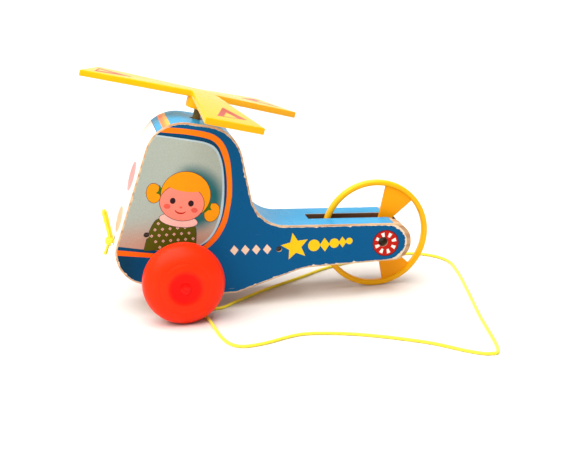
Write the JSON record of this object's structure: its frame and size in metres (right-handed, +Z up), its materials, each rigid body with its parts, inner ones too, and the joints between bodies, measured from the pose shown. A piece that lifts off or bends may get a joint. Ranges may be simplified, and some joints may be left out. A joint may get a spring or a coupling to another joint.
{
  "type": "toy helicopter",
  "caption": "Wooden pull-along toy helicopter with balloon front wheels, a ring-shaped tail wheel, a leaning flat-bladed rotor driven by the front axle and a yellow pull cord.",
  "frame": {"origin": "on the floor straight below the front axle, midway between the front wheels", "axes": "+X from the nose towards the tail, +Y from the near side to the far side, +Z up from the floor"},
  "size_m": [0.2752, 0.226, 0.1713],
  "materials": {
    "board_wood": "bare plywood-like toy wood with worn corners",
    "side_paper": "glossy printed paper, deep blue with a pale window and orange lines",
    "edge_paper": "glossy printed paper, light blue with a pale windscreen",
    "steel": "plain bright steel",
    "dark_steel": "darkened steel",
    "red_plastic": "glossy moulded plastic, orange red",
    "yellow_plastic": "glossy moulded plastic, warm yellow",
    "shaft_plastic": "dull moulded plastic, olive brown",
    "rubber": "black rubber",
    "disc_plastic": "natural moulded plastic",
    "bush_brass": "turned brass",
    "cord_fibre": "twisted bright yellow cord"
  },
  "bodies": {
    "body": {"near_side_board": "board_wood", "core_board": "board_wood", "far_side_board": "board_wood", "near_side_print": "side_paper", "far_side_print": "side_paper", "edge_print": "edge_paper", "assembly_pins": "dark_steel", "lower_bush": "bush_brass", "roof_bush": "bush_brass", "tail_axle": "steel", "tail_washers": "steel", "tail_nail": "dark_steel", "pull_cord": "cord_fibre", "cord_knot": "cord_fibre", "cord_bow": "cord_fibre", "cord_end": "cord_fibre"},
    "front_wheels": {"front_axle": "steel", "near_wheel": "red_plastic", "far_wheel": "red_plastic", "axle_washers": "steel", "wheel_caps": "red_plastic", "drive_roller": "rubber"},
    "rotor": {"rotor": "yellow_plastic", "rotor_shaft": "shaft_plastic", "friction_disc": "disc_plastic"},
    "tail_wheel": {"tail_wheel": "yellow_plastic"}
  },
  "joints": [
    {"name": "front_spin", "type": "hinge", "parent": "body", "child": "front_wheels", "pos_m": [0, 0, 0.0285], "axis": [0, 1, 0], "continuous": true},
    {"name": "rotor_spin", "type": "hinge", "parent": "body", "child": "rotor", "pos_m": [-0.01019, 0, 0.03142], "axis": [0.2756, 0, 0.9613], "continuous": true},
    {"name": "tail_spin", "type": "hinge", "parent": "body", "child": "tail_wheel", "pos_m": [0.1464, 0, 0.04], "axis": [0, 1, 0], "continuous": true}
  ],
  "couplings": [
    {"joint": "rotor_spin", "follows": "front_spin", "ratio": -1}
  ]
}
